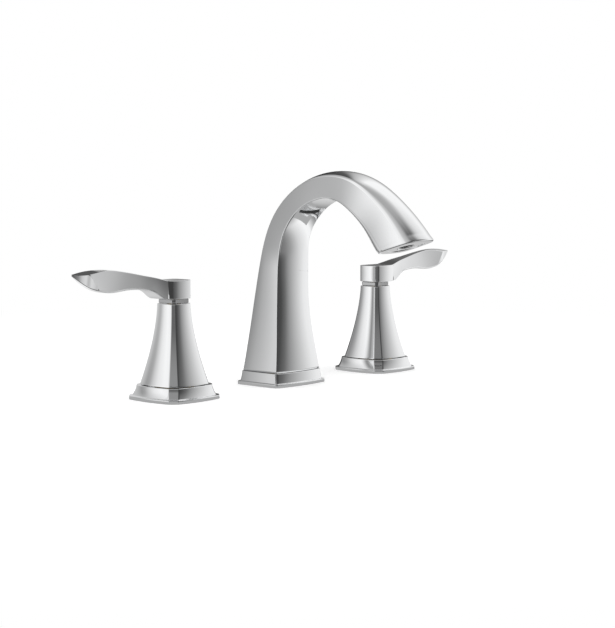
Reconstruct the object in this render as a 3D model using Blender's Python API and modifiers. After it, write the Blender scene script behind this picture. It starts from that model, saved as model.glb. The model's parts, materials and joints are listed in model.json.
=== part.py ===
# Widespread bathroom faucet: two lever handles and a gooseneck spout, with the valves and fixings
# that hold them to a counter. Metres, +Z up. The origin is on the counter's top face, at the middle
# of the spout. The user stands at -Y, hot is at -X and cold at +X. Both levers are shut.

import math

import bmesh
import bpy
import numpy as np
from mathutils import Matrix, Vector

# Layout
centre_distance = 0.2032
deck_thickness = 0.020
seat_gap = 0.0003
overrun = 0.001
round_sides = 24
small_sides = 16

# Base plates, the stepped plinths that stand on the counter
lip_height = 0.0024
plate_height = 0.0093
plate_rim = 0.003
gasket_pocket = 0.003
plate_flare_power = 1.7
plate_flare_steps = 3
gasket_width = 0.0026
handle_plate_chamfer = 0.0045
spout_plate_chamfer = 0.0012
# each step outwards from what stands on the plate: its ledge, the flare's foot and the lip
handle_plate_steps = (0.0017, 0.0018, 0.0015)
spout_plate_steps = (0.0009, 0.0009, 0.0013)
# how far the left and right sides, then the front and back, bow out for each half length of side
handle_crown_shares = (0.105, 0.105)
spout_plate_crown_shares = (0.02, 0.07)

# Bell, the fluted square cover over each valve
bell_foot_wall = 0.0048
bell_foot_chamfer = 0.0042
bell_top_half = 0.0083
bell_top_chamfer = 0.0018
bell_height = 0.0516
bell_flare_power = 1.58
bell_wall = 0.0016
bell_roof = 0.002
bell_ring_height = 0.0048
bell_steps = 8

# Neck ring between bell and handle
neck_height = 0.0026
neck_half = 0.0075
neck_chamfer = 0.0016

# Handle: a square hub and a leaf-shaped lever in one casting
hub_half = 0.0086
hub_height = 0.0117
hub_chamfer = 0.0020
hub_crown = 0.0003
hub_crown_shares = (0.07, 0.07)
lever_reach = 0.0857
lever_height = 0.0213
lever_corner_share = 0.22
lever_span_steps = 2
socket_depth = 0.0088
# along the reach; top and bottom up the lever's height; then the front's and back's offsets from
# the axis, at the top edge and at the bottom edge, in hub halves
lever_shares = (
    (0.000, 0.520, 0.030, 0.92, 0.92, 0.80, 0.80),
    (0.070, 0.535, 0.025, 0.98, 0.98, 0.84, 0.84),
    (0.143, 0.578, 0.032, 0.95, 0.96, 0.80, 0.86),
    (0.205, 0.640, 0.110, 0.88, 0.91, 0.66, 0.76),
    (0.262, 0.690, 0.245, 0.82, 0.86, 0.56, 0.60),
    (0.330, 0.745, 0.335, 0.74, 0.80, 0.44, 0.46),
    (0.450, 0.840, 0.362, 0.60, 0.68, 0.26, 0.32),
    (0.580, 0.930, 0.336, 0.47, 0.57, 0.12, 0.22),
    (0.680, 0.985, 0.322, 0.39, 0.50, 0.06, 0.16),
    (0.780, 1.000, 0.390, 0.32, 0.42, 0.02, 0.10),
    (0.870, 0.985, 0.520, 0.27, 0.34, -0.02, 0.02),
    (0.945, 0.950, 0.680, 0.22, 0.25, -0.06, -0.04),
    (1.000, 0.900, 0.850, 0.19, 0.20, -0.14, -0.14),
)

# Set screw in the back of the hub
screw_radius = 0.0019
screw_recess = 0.0005
screw_height_share = 0.42
key_radius = 0.0009
key_depth = 0.0012

# Valve body with its threaded barrel, hexagon, inlet shank and side outlet
barrel_radius = 0.0125
barrel_top = 0.020
chamber_radius = 0.0096
chamber_floor = -0.016
block_radius = 0.0155
block_top = -0.040
block_height = 0.014
inlet_radius = 0.0103
inlet_length = 0.026
inlet_bore_radius = 0.0045
outlet_radius = 0.0075
outlet_length = 0.027
outlet_bore_radius = 0.0042
passage_radius = 0.0020
passage_offset = 0.0084

# Cartridge: seal, two ceramic discs, stem and housing
seal_height = 0.0025
seal_radius = 0.0068
seal_bore_radius = 0.0036
disc_radius = 0.0070
disc_height = 0.0030
port_radius = 0.0015
port_offset = 0.0040
driver_height = 0.0040
stem_radius = 0.0042
journal_radius = 0.0050
journal_top = 0.0134
housing_bore_radius = 0.0056
housing_top = 0.0138
window_width = 0.0060
window_height = 0.0050
groove_height = 0.0021
groove_depth = 0.0016
groove_height_above_floor = 0.0205
nut_collar_length = 0.0055
nut_hex_radius = 0.0109
nut_hex_height = 0.0060

# Fixings under the counter
washer_overhang = 0.0073
rubber_thickness = 0.003
washer_thickness = 0.0015
lock_nut_wall = 0.0072
lock_nut_height = 0.006

# Spout body: centreline forward of the axis and up from the foot, the lean of each section in
# degrees, its depth from inner to outer edge and its half width
spout_reach = 0.1074
spout_rise = 0.1251
foot_depth = 0.0308
foot_half_width = 0.0220
spout_shares = (
    (0.000, 0.000, 180, 1.000, 1.000),
    (-0.001, 0.138, 180, 0.889, 0.883),
    (-0.002, 0.306, 180, 0.753, 0.764),
    (0.010, 0.467, 180, 0.634, 0.713),
    (0.030, 0.610, 176, 0.532, 0.693),
    (0.061, 0.737, 167, 0.484, 0.646),
    (0.141, 0.854, 143, 0.466, 0.641),
    (0.250, 0.937, 125, 0.460, 0.629),
    (0.368, 0.984, 108, 0.470, 0.606),
    (0.485, 1.000, 90, 0.484, 0.603),
    (0.603, 0.984, 75, 0.542, 0.622),
    (0.711, 0.938, 63, 0.613, 0.631),
    (0.811, 0.872, 50, 0.675, 0.621),
    (0.903, 0.793, 35, 0.765, 0.641),
    (1.000, 0.692, 17, 0.883, 0.680),
)
# width of the outer edge, in widths of the inner edge
column_crease_share = 1.0
arch_crease_share = 0.92
column_front_crown = 0.0016
column_back_crown = 0.0008
arch_under_crown = 0.0012
arch_top_crown = 0.0028
mouth_under_crown = 0.0024
mouth_top_crown = 0.0045
edge_round = 0.0009
arch_top_round = 0.0020
mouth_under_round = 0.0065
mouth_top_round = 0.0045
# where along the rows the column ends, the arch is formed and the mouth begins
column_end_share = 0.30
arch_start_share = 0.48
mouth_start_share = 0.74
spout_span_steps = 2
foot_wall = 0.0045
foot_cavity_height = 0.0085
shank_socket_height = 0.012

# Waterway tube inside the spout
tube_radius = 0.0042
tube_wall = 0.0010
tube_clearance = 0.0004
tube_insert = 0.008
tube_end_share = 0.90

# Aerator in the outlet
mouth_recess_radius = 0.0120
mouth_recess_depth = 0.0014
aerator_chamber_radius = 0.0099
aerator_chamber_depth = 0.0070
aerator_flange_radius = 0.0116
aerator_wall = 0.0016
aerator_washer_height = 0.0014
aerator_washer_bore = 0.0058
aerator_offset = 0.0005
aerator_ledge = 0.0012
insert_face_inset = 0.0010
insert_rib = 0.0008
insert_ring_count = 2

# Spout shank and inlet tee
spout_shank_radius = 0.0100
spout_shank_bore = 0.0046
spout_shank_drop = 0.058
shank_groove_rise = 0.006
tee_radius = 0.0125
tee_engagement = 0.008
tee_length = 0.024
tee_boss_radius = 0.0075
tee_boss_reach = 0.027
tee_bore_radius = 0.0042

# Heights that follow from the sizes above
foot_z = plate_height + seat_gap
bell_foot_half = barrel_radius + seat_gap + bell_foot_wall
bell_top_z = foot_z + bell_height
neck_z = bell_top_z + seat_gap
hub_z = neck_z + neck_height + seat_gap
socket_top_z = hub_z + socket_depth
stem_top_z = socket_top_z - seat_gap
seal_z = chamber_floor + seat_gap
fixed_disc_z = seal_z + seal_height + seat_gap
moving_disc_z = fixed_disc_z + disc_height + seat_gap
driver_z = moving_disc_z + disc_height + seat_gap
driver_top_z = driver_z + driver_height
groove_z = chamber_floor + groove_height_above_floor
rubber_z = -deck_thickness - rubber_thickness
washer_z = rubber_z - seat_gap - washer_thickness
lock_nut_z = washer_z - seat_gap - lock_nut_height

# Colour, metallic and roughness of each finish
finishes = {
    "chrome": ((0.80, 0.81, 0.83), 1.0, 0.05),
    "brass": ((0.72, 0.55, 0.27), 1.0, 0.30),
    "steel": ((0.62, 0.62, 0.63), 1.0, 0.35),
    "rubber": ((0.03, 0.03, 0.03), 0.0, 0.70),
    "foam": ((0.10, 0.10, 0.10), 0.0, 0.95),
    "ceramic": ((0.88, 0.87, 0.84), 0.0, 0.20),
    "black plastic": ((0.05, 0.05, 0.055), 0.0, 0.40),
    "white plastic": ((0.82, 0.82, 0.80), 0.0, 0.45),
}


def start_collection(name):
    collection = bpy.data.collections.new(name)
    bpy.context.scene.collection.children.link(collection)
    return collection


for leftover in list(bpy.data.objects):
    bpy.data.objects.remove(leftover, do_unlink=True)
parts = start_collection("widespread_faucet")
cutters = start_collection("cutters")


def axis_empty(name, x):
    empty = bpy.data.objects.new(name, None)
    empty.location = (x, 0, 0)
    parts.objects.link(empty)
    return empty


def add_object(name, data, parent):
    made = bpy.data.objects.new(name, data)
    made.parent = parent
    parts.objects.link(made)
    return made


def from_bmesh(name, shape, parent):
    bmesh.ops.recalc_face_normals(shape, faces=shape.faces)
    mesh = bpy.data.meshes.new(name)
    shape.to_mesh(mesh)
    shape.free()
    return add_object(name, mesh, parent)


def finish(made, finish_name):
    """Give the piece its own material and shade its round faces smooth."""
    colour, metallic, roughness = finishes[finish_name]
    material = bpy.data.materials.new(made.name)
    material.use_nodes = True
    shader = material.node_tree.nodes["Principled BSDF"]
    shader.inputs["Base Color"].default_value = (*colour, 1)
    shader.inputs["Metallic"].default_value = metallic
    shader.inputs["Roughness"].default_value = roughness
    made.data.materials.append(material)
    made.data.shade_smooth()
    made.data.set_sharp_from_angle(angle=math.radians(35))
    return made


def combine(target, other, operation):
    modifier = target.modifiers.new(other.name, "BOOLEAN")
    modifier.operation = operation
    modifier.solver = "EXACT"
    modifier.object = other
    parts.objects.unlink(other)
    cutters.objects.link(other)
    other.hide_render = True
    other.display_type = "WIRE"


def cut(target, *others):
    for other in others:
        combine(target, other, "DIFFERENCE")
    return target


def fuse(target, *others):
    for other in others:
        combine(target, other, "UNION")
    return target


def loft(name, rings, parent):
    """Skin a closed solid over rings that have the same number of points."""
    shape = bmesh.new()
    rows = [[shape.verts.new(point) for point in ring] for ring in rings]
    for lower, upper in zip(rows, rows[1:]):
        for here in range(len(lower)):
            after = (here + 1) % len(lower)
            shape.faces.new((lower[here], lower[after], upper[after], upper[here]))
    shape.faces.new(rows[0][::-1])
    shape.faces.new(rows[-1])
    return from_bmesh(name, shape, parent)


def rectangle_ring(half_x, half_y, chamfer, z):
    """A rectangle with its four corners cut off, counter-clockwise."""
    near_x = half_x - chamfer
    near_y = half_y - chamfer
    return [(half_x, -near_y, z), (half_x, near_y, z), (near_x, half_y, z), (-near_x, half_y, z),
            (-half_x, near_y, z), (-half_x, -near_y, z), (-near_x, -half_y, z), (near_x, -half_y, z)]


def crowned_ring(half_x, half_y, chamfer, crown_shares, z):
    """The same rectangle with the middle of each long side bowed out."""
    near_x = half_x - chamfer
    near_y = half_y - chamfer
    bow_x = half_x + near_y * crown_shares[0]
    bow_y = half_y + near_x * crown_shares[1]
    return [(half_x, -near_y, z), (bow_x, 0, z), (half_x, near_y, z),
            (near_x, half_y, z), (0, bow_y, z), (-near_x, half_y, z),
            (-half_x, near_y, z), (-bow_x, 0, z), (-half_x, -near_y, z),
            (-near_x, -half_y, z), (0, -bow_y, z), (near_x, -half_y, z)]


def block(name, half_x, half_y, chamfer, low, high, parent):
    rings = [rectangle_ring(half_x, half_y, chamfer, z) for z in (low, high)]
    return loft(name, rings, parent)


def rod(name, radius, start, end, parent, sides=round_sides):
    """A cylinder, or with six sides a hexagon, from one point to another."""
    start = Vector(start)
    along = Vector(end) - start
    turn = along.to_track_quat("Z", "Y").to_matrix().to_4x4()
    shape = bmesh.new()
    bmesh.ops.create_cone(shape, cap_ends=True, segments=sides, radius1=radius, radius2=radius,
                          depth=along.length, matrix=Matrix.Translation(start + along / 2) @ turn)
    return from_bmesh(name, shape, parent)


def turned(name, profile, parent, sides=round_sides):
    """Turn a closed profile of (radius, height) about Z. It starts down its outer side."""
    shape = bmesh.new()
    corners = [shape.verts.new((radius, 0, height)) for radius, height in profile]
    for here, after in zip(corners, corners[1:] + corners[:1]):
        shape.edges.new((here, after))
    mesh = bpy.data.meshes.new(name)
    shape.to_mesh(mesh)
    shape.free()
    made = add_object(name, mesh, parent)
    modifier = made.modifiers.new("turn", "SCREW")
    modifier.steps = sides
    modifier.render_steps = sides
    modifier.use_merge_vertices = True
    modifier.merge_threshold = seat_gap / 10
    return made


def ring(name, outer, inner, low, high, parent, sides=round_sides):
    return turned(name, [(outer, high), (outer, low), (inner, low), (inner, high)], parent, sides)


def o_ring(name, groove_radius, wall_radius, height, parent):
    """A rubber ring between the floor of its groove and the wall that it seals against."""
    middle = (groove_radius + wall_radius) / 2
    section = (wall_radius - groove_radius) / 2 - seat_gap
    turns = [-math.tau * step / 6 for step in range(6)]
    profile = [(middle + section * math.cos(turn), height + section * math.sin(turn)) for turn in turns]
    return turned(name, profile, parent, small_sides)


def tube(name, radius, points, parent):
    """A mesh tube with flat ends along the points."""
    curve = bpy.data.curves.new(name, "CURVE")
    curve.dimensions = "3D"
    curve.bevel_depth = radius
    curve.bevel_resolution = 2
    curve.use_fill_caps = True
    spline = curve.splines.new("POLY")
    spline.points.add(len(points) - 1)
    for spot, point in zip(spline.points, points):
        spot.co = (*point, 1)
    drawn = bpy.data.objects.new(name, curve)
    parts.objects.link(drawn)
    mesh = bpy.data.meshes.new_from_object(drawn.evaluated_get(bpy.context.evaluated_depsgraph_get()))
    bpy.data.objects.remove(drawn)
    shape = bmesh.new()
    shape.from_mesh(mesh)
    bpy.data.meshes.remove(mesh)
    bmesh.ops.remove_doubles(shape, verts=shape.verts, dist=seat_gap / 10)
    return from_bmesh(name, shape, parent)


def smooth_rows(rows, steps):
    """Rows on a smooth Catmull-Rom curve through the given rows, with steps to each span."""
    given = np.array(rows, dtype=float)
    padded = np.vstack([2 * given[0] - given[1], given, 2 * given[-1] - given[-2]])
    made = []
    for span in range(len(given) - 1):
        before, start, end, after = padded[span:span + 4]
        for step in range(steps):
            t = step / steps
            made.append(0.5 * (2 * start + (end - before) * t
                               + (2 * before - 5 * start + 4 * end - after) * t ** 2
                               + (3 * start - before - 3 * end + after) * t ** 3))
    return made + [given[-1]]


def round_corner(before, corner, after, shares=(0, 0.5, 1)):
    """Points of the arc-like curve that leaves before, heads for corner and ends at after."""
    return [tuple((1 - t) ** 2 * a + 2 * t * (1 - t) * b + t ** 2 * c
                  for a, b, c in zip(before, corner, after)) for t in shares]


def toward(start, end, share):
    return tuple(a + (b - a) * share for a, b in zip(start, end))


def plate(name, foot, steps, chamfer, crown_shares, bore, parent):
    """A stepped base plate round the foot that stands on it: a ledge, a hollow flare and a lip."""
    ledge, flare, lip = [[half + sum(steps[:count]) for half in foot] for count in (1, 2, 3)]
    rings = [crowned_ring(*lip, chamfer, crown_shares, z) for z in (0, lip_height)]
    for step in range(plate_flare_steps + 1):
        rise = step / plate_flare_steps
        keep = (1 - rise) ** plate_flare_power
        half_x = ledge[0] + (flare[0] - ledge[0]) * keep
        half_y = ledge[1] + (flare[1] - ledge[1]) * keep
        z = lip_height + (plate_height - lip_height) * rise
        rings.append(crowned_ring(half_x, half_y, chamfer, crown_shares, z))
    made = loft(name, rings, parent)
    pocket = block(name + "_pocket", lip[0] - plate_rim, lip[1] - plate_rim, chamfer,
                   -overrun, gasket_pocket, parent)
    hole = rod(name + "_hole", bore, (0, 0, 0), (0, 0, plate_height + overrun), parent)
    return finish(cut(made, pocket, hole), "chrome")


def gasket(name, foot, steps, chamfer, parent):
    """A foam strip along the wall of the plate's pocket."""
    outer = [half + sum(steps) - plate_rim - seat_gap for half in foot]
    made = block(name, *outer, chamfer, 0, gasket_pocket - seat_gap, parent)
    hole = block(name + "_hole", outer[0] - gasket_width, outer[1] - gasket_width, chamfer,
                 -overrun, gasket_pocket, parent)
    return finish(cut(made, hole), "foam")


def clamp_stack(prefix, thread_radius, parent):
    """The rubber washer, metal washer and lock nut that grip the counter from below."""
    bore = thread_radius + seat_gap
    reach = bore + washer_overhang
    rubber = ring(prefix + "rubber_washer", reach, bore, rubber_z, -deck_thickness, parent)
    finish(rubber, "rubber")
    washer = ring(prefix + "metal_washer", reach, bore, washer_z, washer_z + washer_thickness, parent)
    finish(washer, "steel")
    nut = rod(prefix + "lock_nut", bore + lock_nut_wall, (0, 0, lock_nut_z),
              (0, 0, lock_nut_z + lock_nut_height), parent, sides=6)
    hole = rod(prefix + "lock_nut_hole", bore, (0, 0, lock_nut_z - overrun), (0, 0, washer_z), parent)
    finish(cut(nut, hole), "brass")


def bell_half(z):
    share = (bell_top_z - z) / bell_height
    return bell_top_half + (bell_foot_half - bell_top_half) * share ** bell_flare_power


def bell_rings(low, high, inset):
    rings = []
    for step in range(bell_steps + 1):
        z = low + (high - low) * step / bell_steps
        half = bell_half(z)
        spread = (half - bell_top_half) / (bell_foot_half - bell_top_half)
        chamfer = bell_top_chamfer + (bell_foot_chamfer - bell_top_chamfer) * spread
        rings.append(crowned_ring(half - inset, half - inset, chamfer, handle_crown_shares, z))
    return rings


def bell(prefix, parent):
    """The fluted cover. Its foot is a ring that screws onto the barrel."""
    made = loft(prefix + "bell", bell_rings(foot_z, bell_top_z, 0), parent)
    hollow_floor = foot_z + bell_ring_height
    hollow = loft(prefix + "bell_hollow", bell_rings(hollow_floor, bell_top_z - bell_roof, bell_wall),
                  parent)
    thread = rod(prefix + "bell_thread", barrel_radius + seat_gap, (0, 0, foot_z - overrun),
                 (0, 0, hollow_floor + overrun), parent)
    stem_hole = rod(prefix + "bell_stem_hole", stem_radius + 2 * seat_gap,
                    (0, 0, bell_top_z - bell_roof - overrun), (0, 0, bell_top_z + overrun), parent,
                    small_sides)
    return finish(cut(made, hollow, thread, stem_hole), "chrome")


def neck_ring(prefix, parent):
    made = block(prefix + "neck_ring", neck_half, neck_half, neck_chamfer, neck_z, neck_z + neck_height,
                 parent)
    hole = rod(prefix + "neck_ring_hole", stem_radius + 2 * seat_gap, (0, 0, neck_z - overrun),
               (0, 0, hub_z), parent, small_sides)
    return finish(cut(made, hole), "chrome")


def lever_section(row, outward):
    """One closed ring across the lever, with its four corners rounded."""
    along, top, bottom, front_top, front_low, back_top, back_low = row
    high = hub_z + lever_height * top
    low = hub_z + lever_height * bottom
    corners = [(-hub_half * front_low, low), (hub_half * back_low, low),
               (hub_half * back_top, high), (-hub_half * front_top, high)]
    outline = []
    for here, corner in enumerate(corners):
        before = toward(corner, corners[here - 1], lever_corner_share)
        after = toward(corner, corners[(here + 1) % len(corners)], lever_corner_share)
        outline += round_corner(before, corner, after)
    return [(outward * lever_reach * along, y, z) for y, z in outline]


def handle(prefix, outward, parent):
    """The hub, with the lever that points away from the spout and a socket for the stem."""
    hub_top = hub_z + hub_height
    flat = hub_half - hub_chamfer
    rings = [crowned_ring(hub_half, hub_half, hub_chamfer, hub_crown_shares, hub_z),
             crowned_ring(hub_half, hub_half, hub_chamfer, hub_crown_shares, hub_top),
             crowned_ring(flat, flat, hub_chamfer, hub_crown_shares, hub_top + hub_crown)]
    made = loft(prefix + "handle", rings, parent)
    sections = [lever_section(row, outward) for row in smooth_rows(lever_shares, lever_span_steps)]
    lever = loft(prefix + "lever_arm", sections, parent)
    socket = rod(prefix + "stem_socket", stem_radius + seat_gap, (0, 0, hub_z - overrun),
                 (0, 0, socket_top_z), parent, small_sides)
    screw_z = hub_z + hub_height * screw_height_share
    screw_hole = rod(prefix + "screw_hole", screw_radius + seat_gap, (0, 0, screw_z),
                     (0, hub_half + overrun, screw_z), parent, 12)
    finish(cut(fuse(made, lever), socket, screw_hole), "chrome")
    screw_start = stem_radius + seat_gap
    screw_end = hub_half - screw_recess
    screw = rod(prefix + "set_screw", screw_radius, (0, screw_start, screw_z), (0, screw_end, screw_z),
                parent, 12)
    key = rod(prefix + "screw_key", key_radius, (0, screw_end - key_depth, screw_z),
              (0, screw_end + overrun, screw_z), parent, 6)
    finish(cut(screw, key), "steel")


def stem(prefix, parent):
    """The stem from the driver on the upper disc to the handle's socket, and its O-ring."""
    groove_radius = journal_radius - groove_depth
    groove_top = groove_z + groove_height
    profile = [(0, stem_top_z), (stem_radius, stem_top_z), (stem_radius, journal_top),
               (journal_radius, journal_top), (journal_radius, groove_top), (groove_radius, groove_top),
               (groove_radius, groove_z), (journal_radius, groove_z), (journal_radius, driver_top_z),
               (disc_radius, driver_top_z), (disc_radius, driver_z), (0, driver_z)]
    finish(turned(prefix + "stem", profile, parent, small_sides), "brass")
    finish(o_ring(prefix + "stem_o_ring", groove_radius, housing_bore_radius, (groove_z + groove_top) / 2,
                  parent), "rubber")


def ceramic_disc(name, low, turn, parent):
    """A disc with two ports. A quarter turn brings one disc's ports over the other's."""
    high = low + disc_height
    made = rod(name, disc_radius, (0, 0, low), (0, 0, high), parent)
    for side in (1, -1):
        x = side * port_offset * math.cos(turn)
        y = side * port_offset * math.sin(turn)
        port = rod(name + "_port", port_radius, (x, y, low - overrun), (x, y, high + overrun), parent, 12)
        cut(made, port)
    return finish(made, "ceramic")


def cartridge(prefix, parent):
    finish(ring(prefix + "seat_seal", seal_radius, seal_bore_radius, seal_z, seal_z + seal_height,
                parent, small_sides), "rubber")
    ceramic_disc(prefix + "fixed_disc", fixed_disc_z, 0, parent)
    ceramic_disc(prefix + "moving_disc", moving_disc_z, math.pi / 2, parent)
    outer = chamber_radius - seat_gap
    inner = disc_radius + seat_gap
    shoulder = driver_top_z + seat_gap
    profile = [(outer, housing_top), (outer, fixed_disc_z), (inner, fixed_disc_z), (inner, shoulder),
               (housing_bore_radius, shoulder), (housing_bore_radius, housing_top)]
    housing = turned(prefix + "cartridge_housing", profile, parent)
    window = block(prefix + "housing_window", window_width / 2, chamber_radius, seat_gap,
                   driver_z, driver_z + window_height, parent)
    finish(cut(housing, window), "white plastic")
    nut_z = housing_top + seat_gap
    nut_face = max(barrel_top, nut_z + nut_collar_length) + seat_gap
    nut = rod(prefix + "bonnet_nut", nut_hex_radius, (0, 0, nut_face), (0, 0, nut_face + nut_hex_height),
              parent, sides=6)
    collar = rod(prefix + "bonnet_collar", chamber_radius - seat_gap, (0, 0, nut_z),
                 (0, 0, nut_face + overrun), parent)
    hole = rod(prefix + "bonnet_hole", stem_radius + 2 * seat_gap, (0, 0, nut_z - overrun),
               (0, 0, nut_face + nut_hex_height + overrun), parent, small_sides)
    finish(cut(fuse(nut, collar), hole), "brass")


def valve_body(prefix, outward, parent):
    """The brass body: barrel with its chamber, hexagon, inlet shank, and outlet towards the spout."""
    block_low = block_top - block_height
    inlet_low = block_low - inlet_length
    profile = [(0, barrel_top), (barrel_radius, barrel_top), (barrel_radius, block_top),
               (inlet_radius, block_low), (inlet_radius, inlet_low), (0, inlet_low)]
    made = turned(prefix + "valve_body", profile, parent)
    hexagon = rod(prefix + "valve_hexagon", block_radius, (0, 0, block_low), (0, 0, block_top), parent, 6)
    profile = [(0, barrel_top + overrun), (chamber_radius, barrel_top + overrun),
               (chamber_radius, chamber_floor), (inlet_bore_radius, chamber_floor),
               (inlet_bore_radius, inlet_low - overrun), (0, inlet_low - overrun)]
    bore = turned(prefix + "valve_bore", profile, parent)
    outlet_z = block_top - block_height / 2
    start = (-outward * (inlet_bore_radius + seat_gap), 0, outlet_z)
    end = (-outward * outlet_length, 0, outlet_z)
    boss = rod(prefix + "outlet_boss", outlet_radius, start, end, parent, small_sides)
    way_start = (-outward * passage_offset, 0, outlet_z)
    way = rod(prefix + "outlet_way", outlet_bore_radius / 2, way_start, end, parent, 12)
    mouth_start = toward(way_start, end, 0.5)
    mouth_end = toward(way_start, end, 1.5)
    mouth = rod(prefix + "outlet_mouth", outlet_bore_radius, mouth_start, mouth_end, parent, small_sides)
    passage = rod(prefix + "outlet_passage", passage_radius, (way_start[0], 0, outlet_z),
                  (way_start[0], 0, chamber_floor + overrun), parent, 12)
    finish(cut(fuse(made, hexagon, boss), bore, way, mouth, passage), "brass")


def handle_unit(prefix, outward, parent):
    foot = (bell_foot_half, bell_foot_half)
    handle(prefix, outward, parent)
    neck_ring(prefix, parent)
    bell(prefix, parent)
    plate(prefix + "base_plate", foot, handle_plate_steps, handle_plate_chamfer, handle_crown_shares,
          barrel_radius + seat_gap, parent)
    gasket(prefix + "gasket", foot, handle_plate_steps, handle_plate_chamfer, parent)
    stem(prefix, parent)
    cartridge(prefix, parent)
    valve_body(prefix, outward, parent)
    clamp_stack(prefix, barrel_radius, parent)


def section_place(row):
    """Centre, inward-to-outward direction and depth of one spout section."""
    forward, up, lean, depth, _ = row
    centre = Vector((0, -spout_reach * forward, foot_z + spout_rise * up))
    outward = Vector((0, -math.cos(math.radians(lean)), math.sin(math.radians(lean))))
    return centre, outward, foot_depth * depth


def eased(share, start, end):
    t = min(max((share - start) / (end - start), 0), 1)
    return t * t * (3 - 2 * t)


def along_spout(share, column, arch, mouth):
    """A size that goes from its value on the column to the arch's, and then to the mouth's."""
    value = column + (arch - column) * eased(share, column_end_share, arch_start_share)
    return value + (mouth - value) * eased(share, mouth_start_share, 1)


def spout_section(row, share):
    """A rectangle across the spout, with crowned inner and outer faces and rounded corners."""
    centre, outward, depth = section_place(row)
    half = foot_half_width * row[4]
    crease = half * along_spout(share, column_crease_share, arch_crease_share, arch_crease_share)
    under_crown = along_spout(share, column_front_crown, arch_under_crown, mouth_under_crown)
    top_crown = along_spout(share, column_back_crown, arch_top_crown, mouth_top_crown)
    under_round = along_spout(share, edge_round, edge_round, mouth_under_round)
    top_round = along_spout(share, edge_round, arch_top_round, mouth_top_round)

    def under(x):
        return (x, -under_crown * (1 - (x / half) ** 2))

    def top(x):
        return (x, depth + top_crown * (1 - (x / crease) ** 2))

    low, high = (half, 0), (crease, depth)
    outline = [under(0), under((half - under_round) / 2)]
    outline += round_corner(under(half - under_round), low, toward(low, high, under_round / depth))
    outline += round_corner(toward(high, low, top_round / depth), high, top(crease - top_round))
    outline += [top((crease - top_round) / 2), top(0)]
    outline += [(-x, w) for x, w in outline[-2:0:-1]]
    start = centre - outward * depth / 2
    return [start + Vector((x, 0, 0)) + outward * w for x, w in outline]


def mouth_frame():
    """Centre of the outlet and the direction into it, square to the outlet's face."""
    centre, outward, _ = section_place(spout_shares[-1])
    inward = Vector((0, -outward.z, outward.y)) * -1
    offset = (mouth_top_crown - mouth_under_crown) / 2 - aerator_offset
    return centre + outward * offset, inward


def waterway_points(low, stop_share):
    """The bore's route: straight up the column, then along the middle of the arch."""
    rows = smooth_rows(spout_shares, spout_span_steps)
    route = [Vector((0, 0, low))]
    for index, row in enumerate(rows):
        centre = section_place(row)[0]
        if centre.z > shank_top() + tube_insert and index <= stop_share * (len(rows) - 1):
            route.append(centre)
        elif index > stop_share * (len(rows) - 1):
            break
    return route


def shank_top():
    return foot_z + foot_cavity_height + shank_socket_height - seat_gap


def spout_body(parent):
    rows = smooth_rows(spout_shares, spout_span_steps)
    rings = [spout_section(row, index / (len(rows) - 1)) for index, row in enumerate(rows)]
    made = loft("spout_body", rings, parent)
    cavity_top = foot_z + foot_cavity_height
    cavity = block("foot_cavity", foot_half_width - foot_wall, foot_depth / 2 - foot_wall, seat_gap,
                   foot_z - overrun, cavity_top, parent)
    socket = rod("shank_socket", spout_shank_radius + seat_gap, (0, 0, cavity_top - overrun),
                 (0, 0, cavity_top + shank_socket_height), parent)
    bore = tube("waterway_bore", tube_radius + tube_clearance, waterway_points(shank_top() - overrun, 0.95),
                parent)
    centre, inward = mouth_frame()
    recess = rod("mouth_recess", mouth_recess_radius, centre - inward * overrun,
                 centre + inward * mouth_recess_depth, parent)
    chamber = rod("mouth_chamber", aerator_chamber_radius, centre - inward * overrun,
                  centre + inward * (mouth_recess_depth + aerator_chamber_depth), parent)
    finish(cut(made, cavity, socket, bore, recess, chamber), "chrome")


def place_on_mouth(made, centre, inward):
    """Stand a piece that was turned about Z in the outlet, with its Z along the way in."""
    made.rotation_euler = inward.to_track_quat("Z", "Y").to_euler()
    made.location = centre


def aerator(parent):
    centre, inward = mouth_frame()
    flange_low = seat_gap
    flange_high = mouth_recess_depth - seat_gap
    outer = aerator_chamber_radius - seat_gap
    inner = outer - aerator_wall
    washer_high = mouth_recess_depth + aerator_chamber_depth - seat_gap
    housing_high = washer_high - aerator_washer_height - seat_gap
    ledge_low = housing_high - aerator_ledge
    profile = [(outer, housing_high), (outer, flange_high), (aerator_flange_radius, flange_high),
               (aerator_flange_radius, flange_low), (inner, flange_low), (inner, ledge_low),
               (inner - aerator_ledge, ledge_low), (inner - aerator_ledge, housing_high)]
    place_on_mouth(finish(turned("aerator_housing", profile, parent), "chrome"), centre, inward)
    washer = ring("aerator_washer", outer, aerator_washer_bore, housing_high + seat_gap, washer_high, parent)
    place_on_mouth(finish(washer, "rubber"), centre, inward)
    face = flange_low + insert_face_inset
    back = ledge_low - seat_gap
    insert_radius = inner - seat_gap
    profile = [(0, back), (insert_radius, back)]
    pitch = insert_radius / (insert_ring_count + 0.5)
    for step in range(insert_ring_count + 1):
        edge = insert_radius - step * pitch
        profile += [(edge, face), (edge - insert_rib, face)]
        if step < insert_ring_count:
            floor = face + insert_face_inset
            profile += [(edge - insert_rib, floor), (edge - pitch, floor)]
    profile[-1] = (0, face)
    insert = turned("aerator_insert", profile, parent, small_sides)
    place_on_mouth(finish(insert, "black plastic"), centre, inward)


def waterway(parent):
    tube_low = shank_top() - tube_insert
    route = waterway_points(tube_low, tube_end_share)
    made = tube("waterway_tube", tube_radius, route, parent)
    beyond = [route[0] + (route[0] - route[1]).normalized() * overrun] + route[1:-1]
    beyond.append(route[-1] + (route[-1] - route[-2]).normalized() * overrun)
    finish(cut(made, tube("waterway_tube_bore", tube_radius - tube_wall, beyond, parent)), "white plastic")


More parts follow.
